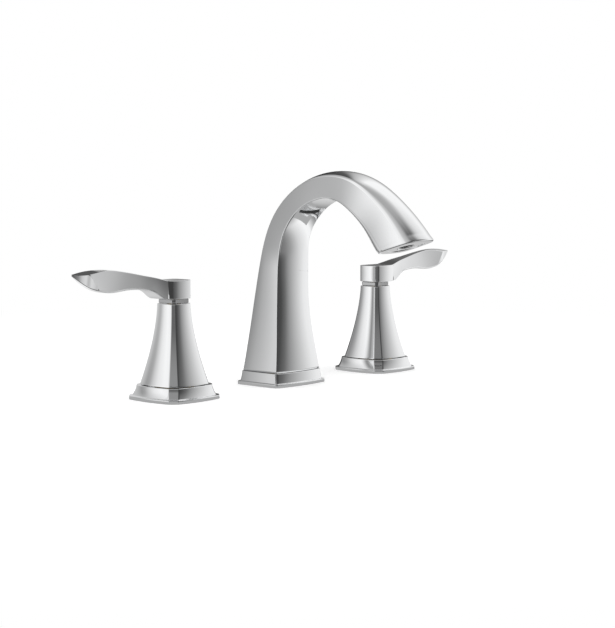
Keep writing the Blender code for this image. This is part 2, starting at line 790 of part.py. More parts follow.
def spout_shank(parent):
    """The threaded shank: a groove for its O-ring at the top, and a seat for the waterway tube."""
    top = shank_top()
    groove_top = top - shank_groove_rise
    groove_low = groove_top - groove_height
    groove_radius = spout_shank_radius - groove_depth
    profile = [(spout_shank_radius, top), (spout_shank_radius, groove_top), (groove_radius, groove_top),
               (groove_radius, groove_low), (spout_shank_radius, groove_low),
               (spout_shank_radius, -spout_shank_drop), (spout_shank_bore, -spout_shank_drop),
               (spout_shank_bore, top)]
    finish(turned("spout_shank", profile, parent), "brass")
    finish(o_ring("shank_o_ring", groove_radius, spout_shank_radius + seat_gap,
                  (groove_low + groove_top) / 2, parent), "rubber")


def inlet_tee(parent):
    """The tee that brings hot and cold together under the spout."""
    top = -spout_shank_drop + tee_engagement
    low = top - tee_length
    floor = -spout_shank_drop - seat_gap
    boss_z = (low + floor) / 2
    made = rod("inlet_tee", tee_radius, (0, 0, low), (0, 0, top), parent)
    bosses = rod("tee_bosses", tee_boss_radius, (-tee_boss_reach, 0, boss_z), (tee_boss_reach, 0, boss_z),
                 parent, small_sides)
    socket = rod("tee_socket", spout_shank_radius + seat_gap, (0, 0, floor), (0, 0, top + overrun), parent)
    riser = rod("tee_riser", tee_bore_radius, (0, 0, boss_z), (0, 0, floor + overrun), parent, small_sides)
    end = tee_boss_reach + overrun
    crossing = rod("tee_crossing", tee_bore_radius, (-end, 0, boss_z), (end, 0, boss_z), parent, small_sides)
    finish(cut(fuse(made, bosses), socket, riser, crossing), "brass")


def spout_unit(parent):
    foot = (foot_half_width, foot_depth / 2)
    spout_body(parent)
    waterway(parent)
    aerator(parent)
    plate("spout_base_plate", foot, spout_plate_steps, spout_plate_chamfer, spout_plate_crown_shares,
          spout_shank_radius + seat_gap, parent)
    gasket("spout_gasket", foot, spout_plate_steps, spout_plate_chamfer, parent)
    spout_shank(parent)
    clamp_stack("spout_", spout_shank_radius, parent)
    inlet_tee(parent)


handle_unit("hot_", -1, axis_empty("hot_axis", -centre_distance / 2))
handle_unit("cold_", 1, axis_empty("cold_axis", centre_distance / 2))
spout_unit(axis_empty("spout_axis", 0))
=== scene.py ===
import json
import math

import bpy
import numpy as np
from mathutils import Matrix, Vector


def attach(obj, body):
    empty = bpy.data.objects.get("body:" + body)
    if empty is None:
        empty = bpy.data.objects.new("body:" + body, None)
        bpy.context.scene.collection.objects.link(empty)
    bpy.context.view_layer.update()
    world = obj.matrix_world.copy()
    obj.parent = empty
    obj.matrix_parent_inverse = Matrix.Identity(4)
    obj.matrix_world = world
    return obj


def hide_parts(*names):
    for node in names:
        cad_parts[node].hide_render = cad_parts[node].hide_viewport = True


# Widespread bathroom faucet in polished chrome. Metres, +Z up, the counter's top face at z = 0,
# the user at -Y, hot at -X and cold at +X. Tables of shape are in millimetres.

mm = 0.001
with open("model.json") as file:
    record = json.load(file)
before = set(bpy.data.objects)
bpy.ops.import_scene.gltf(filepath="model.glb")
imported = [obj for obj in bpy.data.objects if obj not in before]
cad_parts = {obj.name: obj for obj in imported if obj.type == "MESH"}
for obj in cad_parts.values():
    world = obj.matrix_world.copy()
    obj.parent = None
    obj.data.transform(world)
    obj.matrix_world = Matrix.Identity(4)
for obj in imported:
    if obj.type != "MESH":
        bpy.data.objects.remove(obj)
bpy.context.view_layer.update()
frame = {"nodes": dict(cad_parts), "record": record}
nodes = frame["nodes"]
axisX = {"hot": -101.6, "cold": 101.6}
print("stage: frame loaded,", len(nodes), "nodes")


def added(tree, kind, inputs=(), **properties):
    # a new shader node; each of its inputs is set to a value or fed from another node's socket
    made = tree.nodes.new("ShaderNode" + kind)
    for key, value in properties.items():
        setattr(made, key, value)
    for key, value in dict(inputs).items():
        if isinstance(value, bpy.types.NodeSocket):
            tree.links.new(value, made.inputs[key])
        else:
            made.inputs[key].default_value = value
    return made


def noise(tree, vector, scale, detail, roughness=0.5):
    # a soft pattern of 0 to 1, finer for a larger scale
    inputs = {"Vector": vector, "Scale": scale, "Detail": detail, "Roughness": roughness}
    return added(tree, "TexNoise", inputs).outputs["Fac"]


def remap(tree, value, low, high, fromLow=0.0, fromHigh=1.0, easing="LINEAR"):
    # fromLow ... fromHigh is stretched to low ... high
    inputs = {"Value": value, "From Min": fromLow, "From Max": fromHigh, "To Min": low, "To Max": high}
    return added(tree, "MapRange", inputs, interpolation_type=easing).outputs["Result"]


def mixed(tree, factor, first, second):
    # first where the factor is 0 and second where it is 1; each is a colour or a socket
    return added(tree, "Mix", {0: factor, 6: first, 7: second}, data_type="RGBA").outputs[2]


def grey(bright):
    # an even colour
    return (bright, bright, bright, 1)


def grainy(name, scale, colours, gloss, strength):
    # moulded or foamed stuff: a mottled colour and a grain four times as fine
    return {"name": name, "pattern": (scale, 3.0, 0.6), "colours": colours, "gloss": gloss,
            "noise": (4 * scale, 2.0), "strength": strength, "depth": 0.0001}


# Each slot's finish: how the pattern is stretched; its scale, detail and roughness; the two colours that it
# runs between; the gloss's low and high roughness, and the pattern's values there; the bump, from a noise of
# a scale and detail, turned lines of a scale and distortion, or else the pattern; its strength and depth (m).
finishLook = {
    # plated zinc: faint smudges in the gloss and a very slight waviness left by polishing
    "chrome": {"name": "polishedChrome", "metallic": 1.0, "pattern": (38.0, 4.0, 0.6),
               "colours": ((0.935, 0.94, 0.945), (0.905, 0.912, 0.92)), "gloss": (0.03, 0.075, 0.35, 0.75),
               "noise": (110.0, 1.0), "strength": 0.02, "depth": 0.0002},
    # fine tool lines round the piece's axis and a slightly tarnished colour
    "brass": {"name": "turnedBrass", "metallic": 1.0, "pattern": (95.0, 5.0, 0.6),
              "colours": ((0.8, 0.62, 0.3), (0.6, 0.43, 0.19)), "gloss": (0.2, 0.42, 0.3, 0.7),
              "lines": (900.0, 1.5), "strength": 0.1, "depth": 0.00005},
    # rolling marks all one way
    "steel": {"name": "stampedSteel", "metallic": 1.0, "stretch": (1, 30, 1), "pattern": (60.0, 6.0, 0.7),
              "colours": ((0.66, 0.66, 0.67), (0.5, 0.5, 0.52)), "gloss": (0.26, 0.46, 0.3, 0.7),
              "strength": 0.12, "depth": 0.00005},
    "rubber": grainy("blackRubber", 400, ((0.022, 0.022, 0.023), (0.036, 0.036, 0.038)), (0.6, 0.78), 0.2),
    "foam": grainy("greyFoam", 900, ((0.085, 0.085, 0.088), (0.125, 0.125, 0.128)), (0.88, 0.98), 0.6),
    "ceramic": grainy("lappedCeramic", 300, ((0.88, 0.87, 0.84), (0.84, 0.83, 0.8)), (0.12, 0.22), 0.02),
    "black_plastic": grainy("blackNylon", 500, ((0.042, 0.042, 0.046), (0.06, 0.06, 0.064)), (0.34, 0.46),
                            0.05),
    "white_plastic": grainy("whiteAcetal", 260, ((0.83, 0.83, 0.81), (0.78, 0.78, 0.76)), (0.38, 0.5), 0.05),
}
# the neck ring's chrome is darkened to this share: painted shade for the groove between bell and hub
neckShadeFactor = 0.55


def finishMaterial(name, look, shadeFactor=1.0):
    # colour = factor x (first to second along the pattern), below 1 painted shade; gloss and bump as the look
    # says
    material = bpy.data.materials.new(name)
    material.use_nodes = True
    tree = material.node_tree
    shader = tree.nodes["Principled BSDF"]
    shader.inputs["Metallic"].default_value = look.get("metallic", 0.0)
    place = added(tree, "Mapping", {"Vector": added(tree, "TexCoord").outputs["Object"],
                                    "Scale": look.get("stretch", (1, 1, 1))}).outputs["Vector"]
    pattern = noise(tree, place, *look["pattern"])
    first, second = ((*(shadeFactor * part for part in colour), 1) for colour in look["colours"])
    height = pattern
    if "noise" in look:
        height = noise(tree, place, *look["noise"])
    if "lines" in look:
        scale, distortion = look["lines"]
        height = added(tree, "TexWave", {"Vector": place, "Scale": scale, "Distortion": distortion},
                       wave_type="BANDS", bands_direction="Z").outputs["Fac"]
    bump = added(tree, "Bump", {"Height": height, "Strength": look["strength"], "Distance": look["depth"]})
    tree.links.new(mixed(tree, pattern, first, second), shader.inputs["Base Color"])
    tree.links.new(remap(tree, pattern, *look["gloss"]), shader.inputs["Roughness"])
    tree.links.new(bump.outputs["Normal"], shader.inputs["Normal"])
    return material


bySlot = {slotName: finishMaterial(look["name"], look) for slotName, look in finishLook.items()}
neckShadedChrome = finishMaterial("neckShadedChrome", finishLook["chrome"], neckShadeFactor)
slotOf = {entry["node"]: entry["material_slot"] for entry in frame["record"]["subparts"]}
for nodeName, node in nodes.items():
    node.data.materials.clear()
    node.data.materials.append(bySlot[slotOf[nodeName]])
print("stage: materials made,", len(bySlot), "finishes")


def meshObject(name, points, faces):
    # a new object in the scene, in metres
    mesh = bpy.data.meshes.new(name)
    mesh.from_pydata(points, [], faces)
    mesh.update()
    made = bpy.data.objects.new(name, mesh)
    bpy.context.scene.collection.objects.link(made)
    return made


def skinObject(name, points, ring):
    # rows x columns x 3 points in metres, closed across the columns. With ring the last row joins the
    # first, so the skin has no ends; without it each end is closed by one flat face. Faces are turned over
    # if the volume inside them is below zero.
    count, across = points.shape[:2]
    lower = np.arange(count if ring else count - 1)[:, None] * across
    upper = (lower + across) % (count * across)
    here = np.arange(across)
    after = (here + 1) % across
    quads = np.stack([lower + here, lower + after, upper + after, upper + here], axis=-1).reshape(-1, 4)
    a, b, c, d = points.reshape(-1, 3)[quads.T]
    volume = ((a - points.mean(axis=(0, 1))) * (np.cross(b - a, c - a) + np.cross(c - a, d - a))).sum()
    faces = quads.tolist()
    if not ring:
        faces += [here[::-1].tolist(), (here + (count - 1) * across).tolist()]
    if volume < 0:
        faces = [face[::-1] for face in faces]
    return meshObject(name, points.reshape(-1, 3).tolist(), faces)


def gridPiece(name, rows, replaced, x=0.0, body="fixed", slotName="chrome", ring=True):
    # rows in millimetres about a unit's axis at x, as a smooth skin whose normals follow the larger faces,
    # so that flats stay flat beside rounded edges
    piece = skinObject(name, (np.asarray(rows) + [x, 0, 0]) * mm, ring)
    piece.data.materials.append(bySlot[slotName])
    piece.data.shade_smooth()
    piece.modifiers.new("flatNormals", "WEIGHTED_NORMAL").weight = 100
    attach(piece, body)
    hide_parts(*replaced)
    return piece


endWeight = 200


def smoothThrough(places, table, at, softness):
    # values on a line of even steps that pass close to the table's rows: the squared misses (those of
    # the first and last row times the end's weight) plus softness times the squared third differences
    # are made least, which keeps the curvature even
    fine = np.linspace(places[0], places[-1], len(at))
    pick = np.stack([np.interp(places, fine, unit) for unit in np.eye(len(fine))], axis=1)
    third = np.diff(np.eye(len(fine)), n=3, axis=0)
    weight = np.ones(len(places))
    weight[[0, -1]] = endWeight
    system = pick.T @ (weight[:, None] * pick) + softness * third.T @ third
    values = np.linalg.solve(system, pick.T @ (weight[:, None] * table))
    return np.stack([np.interp(at, fine, column) for column in values.T], axis=1)


def parabola(start, corner, stop, turn):
    # (1 - turn)^2 start + 2 turn (1 - turn) corner + turn^2 stop
    return (1 - turn) ** 2 * start + 2 * turn * (1 - turn) * corner + turn ** 2 * stop


def crownedOutline(corners, crowns, rounds, sideSteps=15, roundSteps=5):
    # corners counter-clockwise, each a pair of numbers or of arrays over the rows. Each side to the next
    # corner is bowed outwards by its crown times (1 - t squared), and each corner is rounded by a parabola
    # over its round's length.
    corners = np.array(corners, float).reshape(len(corners), 2, -1).transpose(2, 0, 1)
    crowns, rounds = (np.broadcast_to(np.transpose(value), corners.shape[:2]) for value in (crowns, rounds))
    ends = np.roll(corners, -1, axis=1)
    along = ends - corners
    length = np.linalg.norm(along, axis=2)
    outward = np.stack([along[..., 1], -along[..., 0]], axis=2) / length[..., None]
    start = -1 + 2 * rounds / length
    stop = 1 - 2 * np.roll(rounds, -1, axis=1) / length
    spread = (1 + np.sin(np.linspace(-0.5, 0.5, sideSteps) * math.pi)) / 2
    t = start[..., None] + (stop - start)[..., None] * spread
    side = (corners[:, :, None] + along[:, :, None] * (t[..., None] + 1) / 2
            + outward[:, :, None] * (crowns[..., None] * (1 - t ** 2))[..., None])
    leave = side[:, :, -1]
    arrive = np.roll(side[:, :, 0], -1, axis=1)
    turn = np.linspace(0, 1, roundSteps + 2)[1:-1][None, None, :, None]
    arc = parabola(leave[:, :, None], ends[:, :, None], arrive[:, :, None], turn)
    return np.concatenate([side, arc], axis=2).reshape(len(corners), -1, 2)


def chamferedSquare(halfX, halfY, chamfer, crownShares, edge):
    # a rectangle whose four corners are cut off and whose four long sides are bowed outwards, by the
    # first share of their half length at the left and right, and by the second at the front and back
    halfX, halfY, chamfer, edge = np.broadcast_arrays(*np.atleast_1d(halfX, halfY, chamfer, edge))
    nearX, nearY = halfX - chamfer, halfY - chamfer
    corners = ((halfX, -nearY), (halfX, nearY), (nearX, halfY), (-nearX, halfY),
               (-halfX, nearY), (-halfX, -nearY), (-nearX, -halfY), (nearX, -halfY))
    crowns = (nearY * crownShares[0], 0 * halfX, nearX * crownShares[1], 0 * halfX) * 2
    return crownedOutline(corners, crowns, (edge,) * 8)


def circleLike(outline, radius, centre=(0, 0)):
    # a circle with a point for each one of the outline, at the same angle about the centre
    angle = np.arctan2(outline[..., 1] - centre[1], outline[..., 0] - centre[0])
    return centre + radius * np.stack([np.cos(angle), np.sin(angle)], axis=-1)


def standing(outlines, heights):
    # flat outlines, or one that repeats, set up at their heights
    heights = np.asarray(heights, float)[:, None]
    outlines = np.broadcast_to(outlines, (len(heights), *outlines.shape[-2:]))
    return np.concatenate([outlines, np.broadcast_to(heights, outlines.shape[:2])[..., None]], axis=2)


def softenedProfile(corners, radii, steps=4):
    # a profile of (radius, height) whose corners are rounded, each by a parabola of its own length, but
    # of less than half the side's
    corners, radii = np.array(corners), np.array(radii)

    def toward(shift):
        # where the rounding ends on the way from each corner to its neighbour
        span = np.roll(corners, shift, axis=0) - corners
        length = np.linalg.norm(span, axis=1, keepdims=True)
        return (corners + span / length * np.minimum(radii[:, None], 0.45 * length))[:, None]

    turn = np.linspace(0, 1, steps)[None, :, None]
    return parabola(toward(1), corners[:, None], toward(-1), turn).reshape(-1, 2)


def levelRing(radius, height, angle):
    # the points (radius cos a, radius sin a, height)
    return np.stack([radius * np.cos(angle), radius * np.sin(angle), height + 0 * angle], axis=-1)


def turnedRows(profile, segments):
    # the profile of (radius, height) carried round the Z axis
    return levelRing(profile[:, :1], profile[:, 1:], np.linspace(0, math.tau, segments, endpoint=False))


plateLook = {
    "lipHeight": 2.4, "height": 9.3, "flarePower": 1.7, "flareRows": 14,
    # rounding of the lip's top, the ledge and the upright corners, the last at most a share of the chamfer
    "lipEdge": 0.55, "topEdge": 0.35, "cornerEdge": 0.45, "cornerShare": 0.4,
    # points on the first two roundings, as shares of them: inwards and down
    "lipRound": ((0, 1), (0.12, 0.4), (0.45, 0.1), (1, 0)), "topRound": ((0.3, 0.3), (1, 0)),
    # bevels at the foot and in the bore, and the step from lip to flare
    "footEdge": 0.15, "boreEdge": 0.3, "seam": 0.02,
    # width of the rim underneath and depth of the pocket inside it
    "rim": 3.0, "pocket": 3.0,
}
# Each plinth: half sizes of what stands on it; how far ledge, flare and lip each go beyond the one before;
# the cut corners; the bore's radius; how much the long sides bow out.
handlePlinthLook = {"foot": (17.6, 17.6), "steps": (1.7, 1.8, 1.5), "chamfer": 4.5, "bore": 12.8,
                    "crownShares": (0.105, 0.105)}
spoutPlinthLook = {"foot": (22.0, 15.4), "steps": (0.9, 0.9, 1.3), "chamfer": 1.2, "bore": 10.3,
                   "crownShares": (0.02, 0.1)}


def basePlate(name, plinth, replaced, x=0.0):
    # lip, then a flare, whose half width falls to the ledge's as (1 - rise) to its power, then a flat
    # ledge with the bore
    look = plateLook
    ledge, flare, lip = (np.array(plinth["foot"]) + sum(plinth["steps"][:n]) for n in (1, 2, 3))
    lipZ, height, foot, pocket = (look[key] for key in ("lipHeight", "height", "footEdge", "pocket"))
    rise = np.linspace(0, 1, look["flareRows"])
    flareZ = lipZ + (height - lipZ) * rise
    flareZ[0] += look["seam"]
    flareZ[-1] -= look["topEdge"]

    def rounding(half, z, edge, points):
        return [(half - inwards * edge, z - down * edge) for inwards, down in points]

    rows = [(lip - foot, 0.0), (lip, foot)]
    rows += rounding(lip, lipZ, look["lipEdge"], look["lipRound"])
    rows += [(ledge + (flare - ledge) * keep, z) for keep, z in zip((1 - rise) ** look["flarePower"], flareZ)]
    rows += rounding(ledge, height, look["topEdge"], look["topRound"])
    chamfer = plinth["chamfer"]
    corner = min(look["cornerEdge"], look["cornerShare"] * chamfer)
    outside = chamferedSquare(*np.array([half for half, z in rows]).T, chamfer, plinth["crownShares"], corner)
    hole = circleLike(outside[-1], plinth["bore"])
    inner = chamferedSquare(*(lip - look["rim"]), chamfer, (0, 0), corner)[0]
    points = np.concatenate([standing(outside, [z for half, z in rows]),
                             standing(hole, [height, height - look["boreEdge"], pocket]),
                             standing(inner, [pocket, 0.0])])
    gridPiece(name, points, replaced, x)


bellLook = {
    "footHalf": 17.6, "topHalf": 8.3, "footChamfer": 4.2, "topChamfer": 1.8, "footZ": 9.6,
    "topZ": 61.2, "flarePower": 1.58, "crownShares": (0.105, 0.105),
    # rounding of the upright corners, the share of it at the top and how much more at the foot; even rows
    "cornerEdge": 0.42, "edgeShares": (0.75, 0.5), "rows": 60,
    # the bottom row: up for its shape, and set in; how far from the foot and the top the even rows start
    # and end; the top's rows: down, and set in
    "footRow": (0.01, 0.15), "rowsFrom": 0.2, "rowsTo": 0.35, "capRows": ((0.1, 0.1), (0.0, 0.4)),
    # the inside: walls, roof with the stem's hole, and the threaded ring at the foot
    "wall": 1.6, "roof": 2.0, "hole": 4.8, "hollowRows": 12, "ringHeight": 4.8, "thread": 12.8,
}


def bell(side):
    # half width falls from foot to top as (height from the top) to the flare's power
    look = bellLook
    footZ, topZ = look["footZ"], look["topZ"]

    def outlines(z, inset=0.0):
        share = ((topZ - z) / (topZ - footZ)) ** look["flarePower"]
        half = look["topHalf"] + (look["footHalf"] - look["topHalf"]) * share
        chamfer = look["topChamfer"] + (look["footChamfer"] - look["topChamfer"]) * share
        least, more = look["edgeShares"]
        edge = look["cornerEdge"] * (least + more * share)
        return chamferedSquare(half - inset, half - inset, chamfer, look["crownShares"], edge)

    up, inset = look["footRow"]
    z = np.linspace(footZ + look["rowsFrom"], topZ - look["rowsTo"], look["rows"])
    down, capInset = np.array(look["capRows"]).T
    cap = outlines(topZ - down, capInset)
    roofZ, ringZ = topZ - look["roof"], footZ + look["ringHeight"]
    hollowZ = np.linspace(roofZ, ringZ, look["hollowRows"])
    hollow = outlines(hollowZ, look["wall"])
    rows = np.concatenate([
        standing(outlines(np.array([footZ + up]), inset), [footZ]), standing(outlines(z), z),
        standing(cap, topZ - down), standing(circleLike(cap[-1], look["hole"]), [topZ, roofZ]),
        standing(hollow, hollowZ), standing(circleLike(hollow[-1], look["thread"]), [ringZ, footZ])])
    gridPiece(side + "_bell_shell", rows, [side + "_bell"], axisX[side])


neckLook = {
    "half": 7.5, "low": 61.5, "high": 64.1, "chamfer": 1.6, "edge": 0.3, "hole": 4.8,
    # rows of the outside: set in, and up from the low face
    "rows": ((0.3, 0), (0.08, 0.12), (0.0, 0.35), (0.0, 2.25), (0.08, 2.48), (0.3, 2.6)),
}


def neckRing(side):
    # a flat square ring, low to high, with a round hole
    look = neckLook
    inset, up = np.array(look["rows"]).T
    halves = look["half"] - inset
    outside = chamferedSquare(halves, halves, look["chamfer"], (0, 0), look["edge"])
    rows = np.concatenate([standing(outside, up + look["low"]),
                           standing(circleLike(outside[-1], look["hole"]), [look["high"], look["low"]])])
    piece = gridPiece(side + "_neck_washer", rows, [side + "_neck_ring"], axisX[side])
    # its darker chrome is painted shade, standing in for the shade in the groove between bell and hub
    piece.data.materials[0] = neckShadedChrome


handleLook = {
    "hubLow": 64.4, "hubTop": 76.1, "hubHalf": 8.6, "hubFlat": 6.6,
    # bow of the hub's inner face; rounding of its edges and of the ridge on its front; the ridge's share of
    # the height
    "innerCrown": 0.54, "edge": 0.4, "ridgeEdge": 0.05, "ridgeShare": 0.12,
    # points along each side and round each corner of a section
    "sectionSteps": (11, 4),
    # the inner face: outlines set in by this much and shrunk to these shares, then rows over its edge, set
    # in and outwards
    "faceInset": 0.34, "faceShares": (0.02, 0.2, 0.4, 0.6, 0.8, 0.93, 1.0),
    "faceEdge": ((0.1, 0.08), (0.0, 0.3)),
    # sections on the corner facets, on the sides and past the outer corner: space at either end, number
    "facetRows": (0.36, 0.15, 4), "sideRows": (0.1, 0.15, 28), "outerRows": (0.15, 0.06, 7),
    # the hub's front stands this far forward, less this much for each squared millimetre from the axis,
    # up to where its outer corner is cut back at a steeper slope until the lever's front takes over
    "frontPeak": 9.15, "frontFall": 0.0102, "cornerAt": 8.7, "cornerSlope": 0.268, "frontEnd": 11.6,
    # outwards from the axis, back of the hub; its number of steps and softness; from where on top and
    # bottom go over to the lever's
    "hubBack": ((-6.6, 8.6), (0.0, 9.06), (6.6, 8.6), (9.3, 8.0), (11.6, 7.4)), "backSteps": 80,
    "backSoftness": 0.4, "liftFrom": 6.0,
    # outwards; top and bottom height; front at the top and bottom edge; back at the top and bottom edge;
    # rounding of the front's bottom edge; how much lower the top's front edge is than its back edge
    "lever": ((11.6, 76.32, 64.62, -7.49, -7.73, 7.4, 7.4, 0.4, 0),
              (15.0, 77.2, 65.25, -7.02, -7.42, 6.5, 6.9, 0.5, 0),
              (18.0, 78.0, 66.8, -6.63, -7.13, 5.6, 6.3, 0.7, 0),
              (22.5, 79.05, 69.5, -6.1, -6.7, 4.8, 5.2, 1.0, 0),
              (28.5, 80.2, 71.3, -5.49, -6.19, 3.8, 4.0, 1.3, 0),
              (38.5, 82.2, 72.0, -4.75, -5.65, 2.25, 2.9, 1.6, 0),
              (50.0, 84.2, 71.4, -4.33, -5.43, 1.05, 2.0, 1.7, 0),
              (58.0, 85.2, 71.1, -4.45, -5.55, 0.6, 1.5, 1.6, 0.1),
              (67.0, 85.55, 72.6, -4.92, -5.92, 0.3, 0.9, 1.1, 1.0),
              (74.5, 85.25, 75.3, -5.48, -6.38, -0.1, 0.2, 0.6, 1.7),
              (81.0, 84.45, 79.3, -6.0, -6.8, -0.45, -0.3, 0.3, 1.1),
              (85.5, 83.7, 82.6, -6.4, -7.0, -1.15, -1.2, 0.2, 0.1)),
    # the facet that cuts the lever's end: a point on it (outwards, y, z), how far its front recedes for
    # each millimetre outwards, for each squared one, and for each millimetre downwards; the shares of the
    # height that its edge stays between, and the steps to find it by
    "facetAt": (75.0, -5.5, 83.4), "facetOut": 0.25, "facetBend": 0.0092, "facetDown": 0.17,
    "facetShares": (0.12, 0.88), "facetSteps": 200,
    # the most that the roundings take of a thin section: other edges, front's bottom edge; the rows that
    # close the tip: share of the last section, and outwards; number of sections and their curves' softness
    "thinShares": (0.24, 0.3), "tipRows": ((0.8, 0.12), (0.3, 0.2)), "rows": 150, "softness": 4.0,
    # the stem's socket, from under the hub up, and the set screw's hole: their sides, height, ends in y
    "socketRadius": 4.5, "socketFrom": 62.4, "socketTop": 73.2, "socketSides": 48,
    "screwRadius": 2.2, "screwZ": 69.31, "screwY": (1, 11), "screwSides": 32,
}


def hubRows():
    # the inner face as shrinking outlines that bow out, minus the crown times (1 - (y / flat) squared);
    # then the corner facets and the hub's sides as plane sections. The front stands forward by its peak
    # less the fall times the squared reach, and past the outer corner less its slope times the distance
    # from it. Points are (outwards, y, z).
    look = handleLook
    half, flat, edge, corner = look["hubHalf"], look["hubFlat"], look["edge"], look["cornerAt"]
    low, high = look["hubLow"], look["hubTop"]
    leverTop, leverBottom = look["lever"][0][1:3]
    middle = np.array([0, (low + high) / 2])

    def block(front, back, bottom, top):
        ridge = bottom + look["ridgeShare"] * (top - bottom)
        corners = ((-front, bottom), (back, bottom), (back, top), (-front, top), (-front, ridge))
        rounds = (edge, edge, edge, edge, look["ridgeEdge"])
        return crownedOutline(corners, 0.0, rounds, *look["sectionSteps"])[0]

    def section(wide, inset=0.0):
        return block(wide - inset, wide - inset, low + inset, high - inset)

    def bowed(outline, push=0.0):
        reach = -half - look["innerCrown"] * (1 - np.clip(outline[:, 0] / flat, -1, 1) ** 2) + push
        return np.concatenate([reach[:, None], outline], axis=1)

    def level(outline, reach):
        return np.concatenate([np.full((len(outline), 1), reach), outline], axis=1)

    def between(start, stop, key):
        fromStart, fromStop, count = look[key]
        return np.linspace(start + fromStart, stop - fromStop, count)

    shrunk = section(flat, look["faceInset"])
    rows = [bowed(middle + (shrunk - middle) * share) for share in look["faceShares"]]
    rows += [bowed(section(flat, inset), push) for inset, push in look["faceEdge"]]
    rows += [level(section(flat + half + reach), reach) for reach in between(-half, -flat, "facetRows")]
    at = np.concatenate([between(-flat, corner, "sideRows"), between(corner, look["frontEnd"], "outerRows")])
    table = np.array(look["hubBack"])
    fine = np.linspace(table[0, 0], table[-1, 0], look["backSteps"])
    backs = np.interp(at, fine, smoothThrough(table[:, 0], table[:, 1:], fine, look["backSoftness"])[:, 0])
    lifts = np.interp(at, [look["liftFrom"], look["frontEnd"]], [0.0, 1.0]) ** 2
    near = np.minimum(at, corner)
    fronts = look["frontPeak"] - look["frontFall"] * near ** 2 - look["cornerSlope"] * (at - near)
    for reach, front, back, lift in zip(at, fronts, backs, lifts):
        bottom, top = low + (leverBottom - low) * lift, high + (leverTop - high) * lift
        rows.append(level(block(front, back, bottom, top), reach))
    return np.array(rows)


def leverRows():
    # sections across the lever; their four corners follow smooth curves through the table, a fifth one
    # the facet's edge, and the last section shrinks to a blunt tip
    look = handleLook
    table = np.array(look["lever"])
    at = np.linspace(table[0, 0], table[-1, 0], look["rows"])
    top, bottom, frontTop, frontLow, backTop, backLow, low, drop = smoothThrough(
        table[:, 0], table[:, 1:], at, look["softness"]).T
    frontUp = top - drop
    height = frontUp - bottom
    # front and facet from the bottom to the top edge; the one further back is what stands
    share = np.linspace(0, 1, look["facetSteps"])[None, :]
    front = frontLow[:, None] + (frontTop - frontLow)[:, None] * share
    outwards, forward, up = look["facetAt"]
    beyond = at[:, None] - outwards
    facet = (forward + look["facetOut"] * beyond + look["facetBend"] * beyond * np.abs(beyond)
             + look["facetDown"] * (up - bottom[:, None] - height[:, None] * share))
    split = np.clip((facet > front).mean(axis=1), *look["facetShares"])
    meet = np.maximum(front, facet)
    pick = np.arange(len(at)), (split * (look["facetSteps"] - 1)).astype(int)
    frontLow, frontTop = meet[:, 0], meet[:, -1]
    corners = ((frontLow, bottom), (backLow, bottom), (backTop, top), (frontTop, frontUp),
               (meet[pick], bottom + split * height))
    slim = np.minimum(height, np.minimum(backLow - frontLow, backTop - frontTop))
    edgeShare, lowShare = look["thinShares"]
    edges = np.minimum(look["edge"], edgeShare * slim)
    lows = np.minimum(low, lowShare * slim)
    rounds = (lows, edges, edges, edges, look["ridgeEdge"] + 0 * edges)
    outline = crownedOutline(corners, 0.0, rounds, *look["sectionSteps"])
    reach = np.broadcast_to(at[:, None, None], (*outline.shape[:2], 1))
    rows = np.concatenate([reach, outline], axis=2)
    middle = rows[-1].mean(axis=0)
    tip = [middle + (rows[-1] - middle) * share + [push, 0, 0] for share, push in look["tipRows"]]
    return np.concatenate([rows, tip])


def rod(name, radius, start, end, sides):
    # a plain rod between two points, as a cutter; its first corner is square to any direction off its own
    start, end = np.array(start) * mm, np.array(end) * mm
    along = (end - start) / np.linalg.norm(end - start)
    aside = np.cross(along, [0.3, 0.5, 0.8])
    aside /= np.linalg.norm(aside)
    turn = np.linspace(0, math.tau, sides, endpoint=False)[:, None]
    ring = radius * mm * (np.cos(turn) * aside + np.sin(turn) * np.cross(along, aside))
    return skinObject(name, np.stack([start + ring, end + ring]), False)


def drilled(piece, rods):
    # takes the rods' shapes out of the piece and bakes the result into its mesh
    for cut in rods:
        cutter = piece.modifiers.new(cut.name, "BOOLEAN")
        cutter.operation = "DIFFERENCE"
        cutter.solver = "EXACT"
        cutter.object = cut
    weighted = piece.modifiers["flatNormals"]
    weighted.show_viewport = False
    made = bpy.data.meshes.new_from_object(piece.evaluated_get(bpy.context.evaluated_depsgraph_get()))
    weighted.show_viewport = True
    for cut in rods:
        piece.modifiers.remove(piece.modifiers[cut.name])
        bpy.data.objects.remove(cut)
    piece.data = made


def handle(side):
    # hub and lever as one skin, with the stem's socket and the set screw's hole
    look = handleLook
    x, screwZ = axisX[side], look["screwZ"]
    near, far = look["screwY"]
    points = np.concatenate([hubRows(), leverRows()]) * [np.sign(x), 1, 1]
    piece = gridPiece(side + "_lever_handle", points, [side + "_handle"], x, side + "_lever", ring=False)
    drilled(piece, [
        rod("socketDrill", look["socketRadius"], (x, 0, look["socketFrom"]), (x, 0, look["socketTop"]),
            look["socketSides"]),
        rod("screwDrill", look["screwRadius"], (x, near, screwZ), (x, far, screwZ), look["screwSides"])])


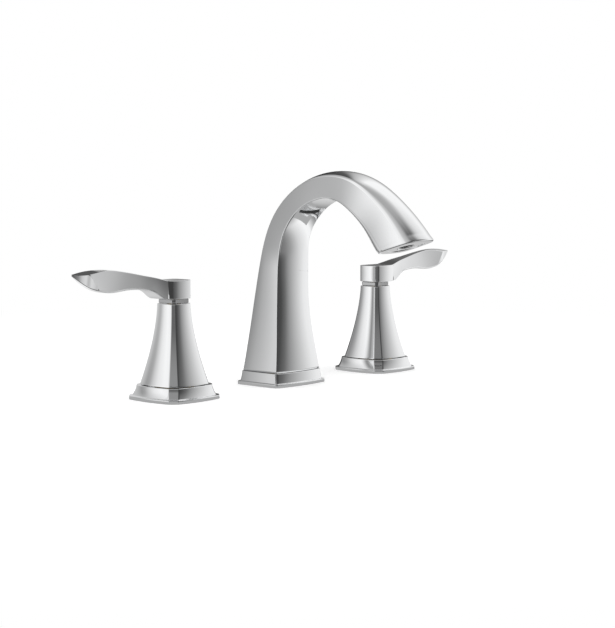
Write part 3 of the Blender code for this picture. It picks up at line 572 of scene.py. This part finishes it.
spoutLook = {
    # forward of the axis, up from the foot, lean in degrees, depth, half width
    "rows": ((0, 0, 180, 30.8, 22.0), (-0.1, 17.3, 180, 27.4, 19.43), (-0.2, 38.3, 180, 23.2, 16.8),
             (1.05, 58.4, 180, 19.53, 15.68), (3.2, 76.33, 176, 16.38, 15.24), (6.5, 92.14, 167, 14.9, 14.21),
             (15.12, 106.86, 143, 14.34, 14.1), (26.9, 117.17, 125, 14.16, 13.84),
             (39.49, 123.04, 108, 14.47, 13.33), (52.1, 125.04, 90, 14.91, 13.26),
             (64.81, 123.12, 75, 16.7, 13.68), (76.4, 117.3, 63, 18.89, 13.89),
             (87.08, 109.07, 50, 20.8, 13.66), (96.94, 99.15, 35, 23.55, 14.11),
             (107.4, 86.57, 17, 27.2, 14.95)),
    "footZ": 9.6, "steps": 190, "softness": 40.0,
    # width of the outer edge for the inner edge's, on the arch, and the shares between which it comes in
    "creaseShare": 0.92, "creaseFrom": (0.3, 0.48),
    # share along the rows; crown of the front or under face, of the back or top face, and of the sides;
    # rounding of the front or under edges, and of the back or top edges
    "faces": ((0.00, 2.45, 0.8, 0.35, 0.7, 0.9), (0.3, 1.75, 0.8, 0.3, 0.7, 0.9),
              (0.4, 1.4, 1.6, 0.2, 0.8, 0.9), (0.48, 1.2, 2.4, 0.1, 0.8, 1.0),
              (0.6, 1.2, 2.8, 0.1, 0.9, 1.2), (0.74, 1.2, 2.9, 0.15, 1.6, 1.5),
              (0.87, 1.7, 3.7, 0.35, 3.6, 2.6), (1.00, 2.4, 4.5, 0.7, 6.5, 4.0)),
    "facesSoftness": 30.0, "leastFace": 0.05,
    # points along each side and round each corner of a section
    "sectionSteps": (21, 7),
    # the mouth: its rim as (set in, depth), the last row of the outside this far from it, and the recess,
    # off the middle, with its edge as (share of its radius, depth); then the chamber and the bore
    "rim": ((0.1, 0.62), (0.38, 0.22), (0.9, 0.0)), "rimDepth": 1.1, "rimSpace": 1.3,
    "recessShift": 0.55, "recessEdge": (1.012, 0.12), "recessRadius": 12.0, "recessDepth": 1.4,
    "chamberRadius": 9.9, "chamberDepth": 8.4, "boreRadius": 4.6,
    # the bore's sections: the first one from the mouth, every how many, the least height over the socket
    "boreFirst": 14, "boreEvery": 5, "boreOver": 4,
    # the shank's socket and the hollow in the foot
    "socketRadius": 10.3, "socketTop": 30.1, "cavityTop": 18.1, "footWall": 4.5,
    "cavityCrown": 0.05, "cavityEdge": 0.8,
}


def spoutSections():
    # centre line, lean, depth and half width as smooth curves over the rows' own spacing, and the faces'
    # crowns and roundings over their shares of the way
    look = spoutLook
    table = np.array(look["rows"])
    step = np.linalg.norm(np.diff(table[:, :2], axis=0), axis=1)
    along = np.concatenate([[0], np.cumsum(step)])
    at = np.linspace(0, along[-1], look["steps"])
    made = smoothThrough(along, table, at, look["softness"])
    index = np.interp(at, along, np.arange(len(table))) / (len(table) - 1)
    faces = np.array(look["faces"])
    bows = smoothThrough(faces[:, 0], faces[:, 1:], index, look["facesSoftness"])
    start, stop = look["creaseFrom"]
    ease = np.clip((index - start) / (stop - start), 0, 1)
    crease = 1 + (look["creaseShare"] - 1) * ease * ease * (3 - 2 * ease)
    return made, np.concatenate([bows, crease[:, None]], axis=1)


def spoutOutlines(made, faces):
    # across: x and the distance from the inner edge. Front or under side, near side, back or top, far side
    depth, half = made.T[3:]
    under, top, sideCrown, underRound, topRound, creaseShare = np.maximum(faces, spoutLook["leastFace"]).T
    crease = half * creaseShare
    corners = ((-half, 0 * half), (half, 0 * half), (crease, depth), (-crease, depth))
    crowns = (under, sideCrown, top, sideCrown)
    rounds = (underRound, underRound, topRound, topRound)
    return crownedOutline(corners, crowns, rounds, *spoutLook["sectionSteps"])


def inSection(outline, forward, up, lean, depth):
    # section coordinates to the row frame: x stays, the rest lies along the leaning direction
    lean = np.radians(lean)
    away = np.stack([0 * lean, -np.cos(lean), np.sin(lean)], axis=-1)
    centre = np.stack([0 * forward, -forward, up + spoutLook["footZ"]], axis=-1)
    local = outline[..., 1:] - np.asarray(depth)[..., None, None] / 2
    return centre[..., None, :] + outline[..., :1] * [1, 0, 0] + away[..., None, :] * local


def spoutBody():
    # one skin with no ends: up the outside, over the rim, into the outlet, back down the bore to the
    # shank's socket, and out through the hollow in the foot
    look = spoutLook
    made, faces = spoutSections()
    up, lean, depth, half = made.T[1:]
    flat = spoutOutlines(made, faces)
    outside = inSection(flat, *made.T[:4])
    mouth = flat[-1]
    middle = np.array([0, (depth[-1] + 2 * look["recessShift"]) / 2])
    lastLean = math.radians(lean[-1])
    inward = np.array([0, math.sin(lastLean), math.cos(lastLean)])

    def atMouth(outline, deep):
        return inSection(outline, *made[-1, :4]) + inward * deep

    def shrunk(by):
        away = mouth - middle
        return middle + away * (1 - by / np.linalg.norm(away, axis=1, keepdims=True))

    keep = len(outside) - 1
    while np.abs((outside[keep, 0] - atMouth(mouth, 0)[0]) @ inward) < look["rimSpace"]:
        keep -= 1
    recess, chamber, bore = (circleLike(mouth, look[key], middle)
                             for key in ("recessRadius", "chamberRadius", "boreRadius"))
    wider, edgeDepth = look["recessEdge"]
    recessDepth, chamberDepth = look["recessDepth"], look["chamberDepth"]
    rim = [atMouth(mouth, look["rimDepth"]), *(atMouth(shrunk(by), deep) for by, deep in look["rim"]),
           atMouth(middle + (recess - middle) * wider, 0.0), atMouth(recess, edgeDepth),
           atMouth(recess, recessDepth), atMouth(chamber, recessDepth), atMouth(chamber, chamberDepth),
           atMouth(bore, chamberDepth)]
    inside = np.arange(len(made) - look["boreFirst"], 0, -look["boreEvery"])
    inside = inside[up[inside] + look["footZ"] > look["socketTop"] + look["boreOver"]]
    centred = (bore - middle)[None] + np.stack([0 * depth[inside], depth[inside] / 2], 1)[:, None]
    bores = inSection(centred, *made[inside, :4].T)
    # the foot's sections lean fully back, so their second axis points to +Y
    angle = np.arctan2(flat[0, :, 1] - depth[0] / 2, flat[0, :, 0])
    wall, wide = look["footWall"], half[0] - look["footWall"]
    corners = ((-wide, wall), (wide, wall), (wide, depth[0] - wall), (-wide, depth[0] - wall))
    cavity = crownedOutline(corners, look["cavityCrown"], look["cavityEdge"], *look["sectionSteps"])[0]
    foot = inSection(cavity, *made[0, :4])
    tail = [levelRing(look[radius], look[z], angle) for radius, z in (
        ("boreRadius", "socketTop"), ("socketRadius", "socketTop"), ("socketRadius", "cavityTop"))]
    tail += [foot + [0, 0, look["cavityTop"] - look["footZ"]], foot]
    points = np.concatenate([outside[:keep], rim, bores, tail])
    gridPiece("spout_casting", points, ["spout_body"])


outletLook = {"centre": (0.0, -107.926, 96.33), "lean": 17.0}


def onOutlet(turned):
    # a turned shape's point (x, y, depth) goes to centre + x across + y forward + depth up the outlet
    lean = math.radians(outletLook["lean"])
    inward = np.array([0, math.sin(lean), math.cos(lean)])
    forward = np.array([0, -math.cos(lean), math.sin(lean)])
    return (np.array(outletLook["centre"]) + turned[..., :1] * [1, 0, 0] + turned[..., 1:2] * forward
            + turned[..., 2:] * inward)


aeratorLook = {
    # (radius, depth into the outlet): outside, flange, then the opening and the seat of the spray disc
    "profile": ((9.6, 6.4), (9.6, 1.1), (11.6, 1.1), (11.6, 0.3), (5.9, 0.3), (5.4, 0.8), (5.4, 1.6),
                (8.0, 1.6), (8.0, 5.2), (6.8, 5.2), (6.8, 6.4)),
    "edges": (0.2, 0.05, 0.1, 0.25, 0.15, 0.15, 0.1, 0.05, 0.05, 0.1, 0.1), "segments": 96,
}


def aeratorRing():
    # the softened profile turned round the outlet's axis
    profile = softenedProfile(aeratorLook["profile"], aeratorLook["edges"])
    points = onOutlet(turnedRows(profile, aeratorLook["segments"]))
    gridPiece("aerator_ring", points, ["aerator_housing"])


sprayLook = {
    "radius": 7.7, "face": 2.5, "back": 4.9, "ribs": 5, "ribWidth": 0.45, "groove": 0.5,
    # radius at which the faces end near the axis
    "eye": 0.02, "segments": 64,
}


def sprayInsert():
    # the aerator's inner disc: concentric ribs round the outlet's axis, set back inside its chrome ring
    look = sprayLook
    radius, face, ribWidth = look["radius"], look["face"], look["ribWidth"]
    pitch = radius / (look["ribs"] + 0.5)
    profile = [(look["eye"], look["back"]), (radius, look["back"])]
    for step in range(look["ribs"] + 1):
        edge = radius - step * pitch
        profile += [(edge, face), (edge - ribWidth, face)]
        if step < look["ribs"]:
            profile += [(edge - ribWidth, face + look["groove"]), (edge - pitch, face + look["groove"])]
    profile[-1] = (look["eye"], face)
    points = onOutlet(turnedRows(np.array(profile), look["segments"]))
    gridPiece("aerator_spray_disc", points, ["aerator_insert"], slotName="black_plastic", ring=False)


for side in ("hot", "cold"):
    basePlate(side + "_plinth", handlePlinthLook, [side + "_base_plate"], axisX[side])
    bell(side)
    neckRing(side)
    handle(side)
print("stage: handle units made")
basePlate("spout_plinth", spoutPlinthLook, ["spout_base_plate"])
spoutBody()
aeratorRing()
sprayInsert()
print("stage: spout made")


studioLook = {
    # azimuth of a direction in degrees from +X towards +Y, and how bright the studio is there: under the
    # horizon, at the horizon, then a third of the way up
    "below": ((-180, 0.7), (-152, 0.34), (-138, 0.3), (-122, 0.08), (-106, 0.1), (-94, 0.14),
              (-89, 0.26), (-84, 0.62), (-79, 0.74), (-70, 0.14), (-58, 0.24), (-50, 0.36), (-42, 0.54),
              (-35, 0.7), (-27, 0.82), (-14, 1.0), (-7, 0.98), (-2, 0.72), (3, 0.44), (9, 0.2), (14, 0.11),
              (19, 0.13), (25, 0.3), (34, 0.56), (45, 0.74), (54, 0.96), (66, 0.92), (92, 0.4), (120, 0.34),
              (146, 0.7), (164, 0.86), (180, 0.7)),
    "low": ((-180, 0.86), (-165, 0.6), (-152, 0.22), (-138, 0.14), (-122, 0.08), (-108, 0.05), (-74, 0.05),
            (-66, 0.07), (-60, 0.15), (-54, 0.31), (-47, 0.46), (-40, 0.6), (-33, 0.74), (-25, 0.88),
            (-17, 0.92), (-8, 0.92), (5, 0.86), (18, 0.66), (33, 0.42), (42, 0.05), (56, 0.04), (66, 0.3),
            (92, 0.24), (112, 0.34), (119, 0.26), (125, 0.4), (131, 0.64), (138, 0.86), (148, 1.0),
            (160, 0.9), (180, 0.86)),
    "high": ((-180, 0.6), (-150, 0.42), (-128, 0.2), (-112, 0.07), (-84, 0.06), (-68, 0.08), (-58, 0.2),
             (-50, 0.4), (-40, 0.62), (-28, 0.78), (0, 0.97), (22, 1.0), (29, 0.74), (37, 0.48), (43, 0.1),
             (51, 0.05), (59, 0.22), (76, 0.46), (100, 0.46), (120, 0.5), (136, 0.72), (150, 0.94),
             (165, 0.9), (180, 0.6)),
    "overhead": 0.42, "nadir": 0.1,
    # the ray's z over which each band takes over from the one below
    "belowFrom": (-0.9, -0.72), "lowFrom": (-0.22, -0.11), "highFrom": (0.22, 0.5),
    "overheadFrom": (0.84, 0.98), "dome": 0.86,
}


def rampAlong(tree, value, stops):
    # brightness by a value from 0 to 1, straight between the stops
    made = added(tree, "ValToRGB", {"Fac": value})
    ramp = made.color_ramp
    for place, bright in stops[1:-1]:
        ramp.elements.new(place)
    for element, (place, bright) in zip(ramp.elements, stops):
        element.color = grey(bright)
    return made.outputs["Color"]


def mathNode(tree, operation, *values):
    # one sum of values or sockets
    return added(tree, "Math", dict(enumerate(values)), operation=operation).outputs[0]


def smoothStep(tree, value, start, stop):
    # 0 up to the start, 1 from the stop on, eased between
    return remap(tree, value, 0.0, 1.0, start, stop, "SMOOTHSTEP")


def studioWorld():
    # white to the camera, an even dome for matt surfaces, and soft bands with dark gaps for metal: place
    # along a band = azimuth / 360 + 1/2, and each takes over from the one below it as the ray climbs
    look = studioLook
    world = bpy.data.worlds.new("studio")
    bpy.context.scene.world = world
    world.use_nodes = True
    tree = world.node_tree
    tree.nodes.clear()
    ray = added(tree, "SeparateXYZ", {0: added(tree, "TexCoord").outputs["Generated"]}).outputs
    angle = mathNode(tree, "ARCTAN2", ray["Y"], ray["X"])
    azimuth = mathNode(tree, "MULTIPLY_ADD", angle, 1 / math.tau, 0.5)
    banded = grey(look["nadir"])
    for band in ("below", "low", "high", "overhead"):
        above = grey(look["overhead"])
        if band != "overhead":
            above = rampAlong(tree, azimuth, [((place + 180) / 360, bright) for place, bright in look[band]])
        banded = mixed(tree, smoothStep(tree, ray["Z"], *look[band + "From"]), banded, above)
    rays = added(tree, "LightPath").outputs
    seen = mixed(tree, rays["Is Glossy Ray"], grey(look["dome"]), banded)
    seen = mixed(tree, rays["Is Camera Ray"], seen, grey(1))
    background = added(tree, "Background", {"Color": seen})
    added(tree, "OutputWorld", {"Surface": background.outputs[0]})


def bareCard(name, corners, materialName):
    # flat cards, their corners in fours, with an empty material for the caller's nodes
    card = meshObject(name, corners, [(n, n + 1, n + 2, n + 3) for n in range(0, len(corners), 4)])
    material = bpy.data.materials.new(materialName)
    material.use_nodes = True
    material.node_tree.nodes.clear()
    card.data.materials.append(material)
    return card, material.node_tree


def mixedShader(tree, factor, first, second):
    # the first shader where the factor is 0 and the second where it is 1
    return added(tree, "MixShader", {0: factor, 1: first.outputs[0], 2: second.outputs[0]})


floorLook = {"size": 6.0, "colour": 0.93, "cameraColour": 1.12, "whiteFrom": 0.3, "whiteTo": 0.6}


def studioFloor():
    # a plain sweep with the faucet's shadow near it, white further off; metal looks past it to the studio
    look = floorLook
    reach = look["size"]
    corners = [(-reach, -reach, 0), (reach, -reach, 0), (reach, reach, 0), (-reach, reach, 0)]
    floor, tree = bareCard("floor", corners, "whiteSweep")
    rays = added(tree, "LightPath").outputs
    tone = mixed(tree, rays["Is Camera Ray"], grey(look["colour"]), grey(look["cameraColour"]))
    place = added(tree, "NewGeometry").outputs["Position"]
    distance = added(tree, "VectorMath", {0: place}, operation="LENGTH").outputs["Value"]
    far = smoothStep(tree, distance, look["whiteFrom"], look["whiteTo"])
    shader = added(tree, "BsdfDiffuse", {"Color": tone})
    for factor, other in ((mathNode(tree, "MULTIPLY", far, rays["Is Camera Ray"]), "Emission"),
                          (rays["Is Glossy Ray"], "BsdfTransparent")):
        shader = mixedShader(tree, factor, shader, added(tree, other))
    added(tree, "OutputMaterial", {"Surface": shader.outputs[0]})


def metalOnly(card):
    # seen by glossy rays alone
    card.visible_camera = False
    card.visible_diffuse = False
    card.visible_shadow = False
    card.visible_transmission = False


flagLook = {
    # for the side of the spout: ends in x, y, foot and top, brightness along x near the counter and higher
    # up, and the heights between which it changes over
    "ends": (-0.33, 0.01), "y": 0.05, "heights": (0.001, 0.19),
    "brightLow": ((-0.33, 0.7), (-0.096, 0.66), (-0.078, 0.54), (-0.064, 0.44), (-0.05, 0.28), (0.01, 0.28)),
    "brightHigh": ((-0.33, 0.9), (-0.24, 0.88), (-0.19, 0.72), (-0.14, 0.5), (-0.1, 0.42),
                   (-0.06, 0.36), (0.01, 0.36)),
    "highFrom": (0.075, 0.105),
    # where in x it fades out to the right, to the left below a height, and far left
    "rightFade": (-0.045, 0.004), "leftFade": (-0.155, -0.12), "leftUpTo": (0.066, 0.09),
    "farFade": (-0.31, -0.18),
}


def flagCard():
    # a card that only metal sees; share left clear = the greatest of the right fade, the far fade and
    # (left fade x low fade)
    look = flagLook
    left, right = look["ends"]
    foot, top = look["heights"]
    corners = [(x, look["y"], z) for x, z in ((left, foot), (right, foot), (right, top), (left, top))]
    card, tree = bareCard("sideFlag", corners, "sideFlag")
    place = added(tree, "SeparateXYZ", {0: added(tree, "NewGeometry").outputs["Position"]}).outputs
    span = right - left
    share = mathNode(tree, "MULTIPLY_ADD", place["X"], 1 / span, -left / span)
    near, above = (rampAlong(tree, share, [((x - left) / span, bright) for x, bright in look[key]])
                   for key in ("brightLow", "brightHigh"))
    glow = added(tree, "Emission",
                 {"Color": mixed(tree, smoothStep(tree, place["Z"], *look["highFrom"]), near, above)})

    def falling(axis, key):
        return mathNode(tree, "SUBTRACT", 1.0, smoothStep(tree, place[axis], *look[key]))

    low = mathNode(tree, "MULTIPLY", falling("X", "leftFade"), falling("Z", "leftUpTo"))
    clear = mathNode(tree, "MAXIMUM", mathNode(tree, "MAXIMUM", low, falling("X", "farFade")),
                     smoothStep(tree, place["X"], *look["rightFade"]))
    shader = mixedShader(tree, clear, glow, added(tree, "BsdfTransparent"))
    added(tree, "OutputMaterial", {"Surface": shader.outputs[0]})
    metalOnly(card)


cardLook = {
    # under each unit: half sizes, height and brightness
    "shieldHalf": (0.0508, 0.045), "shieldZ": -0.0004, "shieldBright": 0.42,
    # over the hot lever's tip: ends in x and y, height and brightness
    "tipX": (-0.19, -0.15), "tipY": (-0.022, 0.032), "tipZ": 0.098, "tipBright": 0.1,
    # the strip that the arch mirrors on its inside, in mm: y at x 0, slope and bend; height at x 0, fall
    # along x, like that of the column's rays, so that the column doesn't show it, and where the fall ends;
    # ends in x; half its width at its ends; its number of parts and brightness
    "bandCurve": (-25.57, -0.0152, 0.00395), "bandZ": (77.7, 0.09, 46.0), "bandX": (20.0, 74.0),
    "bandHalf": (1.2, 2.9), "bandParts": 12, "bandBright": 0.04,
}


def plainCard(name, corners, bright):
    # evenly bright cards that only metal sees
    card, tree = bareCard(name, corners, name)
    glow = added(tree, "Emission", {"Color": grey(bright)})
    added(tree, "OutputMaterial", {"Surface": glow.outputs[0]})
    metalOnly(card)


def plainCards():
    # grey just under the floor, so that what stands on the counter mirrors nothing under it; dark over the
    # lever's tip; and the arch's strip, y = foot + slope x + bend x^2, z = high - fall x up to level
    look = cardLook
    halfX, halfY = look["shieldHalf"]
    plainCard("shield", [(x * mm + a * halfX, b * halfY, look["shieldZ"])
                         for x in (axisX["hot"], 0.0, axisX["cold"])
                         for a, b in ((-1, -1), (1, -1), (1, 1), (-1, 1))], look["shieldBright"])
    plainCard("tipCard", [(look["tipX"][a], look["tipY"][b], look["tipZ"])
                          for a, b in ((0, 0), (1, 0), (1, 1), (0, 1))], look["tipBright"])
    foot, slope, bend = look["bandCurve"]
    high, fall, level = look["bandZ"]
    parts = look["bandParts"]
    x = np.linspace(*look["bandX"], parts + 1)
    half = np.linspace(*look["bandHalf"], parts + 1)
    middle = foot + slope * x + bend * x ** 2
    rise = high - fall * np.minimum(x, level)
    plainCard("bandCard", [(x[n] * mm, (middle[n] + way * half[n]) * mm, rise[n] * mm)
                           for k in range(parts) for n, way in ((k, -1), (k + 1, -1), (k + 1, 1), (k, 1))],
              look["bandBright"])


def aimed(name, data, place, direction):
    # a lamp or camera that looks along the direction
    made = bpy.data.objects.new(name, data)
    made.location = place
    made.rotation_mode = "QUATERNION"
    made.rotation_quaternion = direction.to_track_quat("-Z", "Y")
    bpy.context.scene.collection.objects.link(made)
    return made


lampLook = {
    # size, power and place of each lamp, and the point that both look at
    "lamps": {"keyLamp": (0.9, 5.0, (-0.7, -0.5, 1.1)), "fillLamp": (0.8, 2.0, (0.8, -0.7, 0.7))},
    "target": (0, 0, 0.05),
}


def softLamps():
    # square lamps aimed at the target, which metal doesn't mirror
    for name, (size, power, place) in lampLook["lamps"].items():
        data = bpy.data.lights.new(name, "AREA")
        data.size = size
        data.energy = power
        lamp = aimed(name, data, place, Vector(lampLook["target"]) - Vector(place))
        lamp.visible_glossy = False


cameraLook = {"place": (-0.83152, -0.75911, 0.14994), "yaw": 48.52, "pitch": 5.21, "lens": 94.74,
              "sensor": 36}


def photoCamera():
    # looks along (sin yaw cos pitch, cos yaw cos pitch, -sin pitch)
    look = cameraLook
    data = bpy.data.cameras.new("camera")
    data.lens = look["lens"]
    data.sensor_width = look["sensor"]
    yaw, pitch = math.radians(look["yaw"]), math.radians(look["pitch"])
    aim = Vector((math.sin(yaw) * math.cos(pitch), math.cos(yaw) * math.cos(pitch), -math.sin(pitch)))
    bpy.context.scene.camera = aimed("camera", data, look["place"], aim)


studioWorld()
studioFloor()
flagCard()
plainCards()
softLamps()
photoCamera()
bpy.context.scene.view_settings.view_transform = "Standard"
print("stage: studio and camera made")
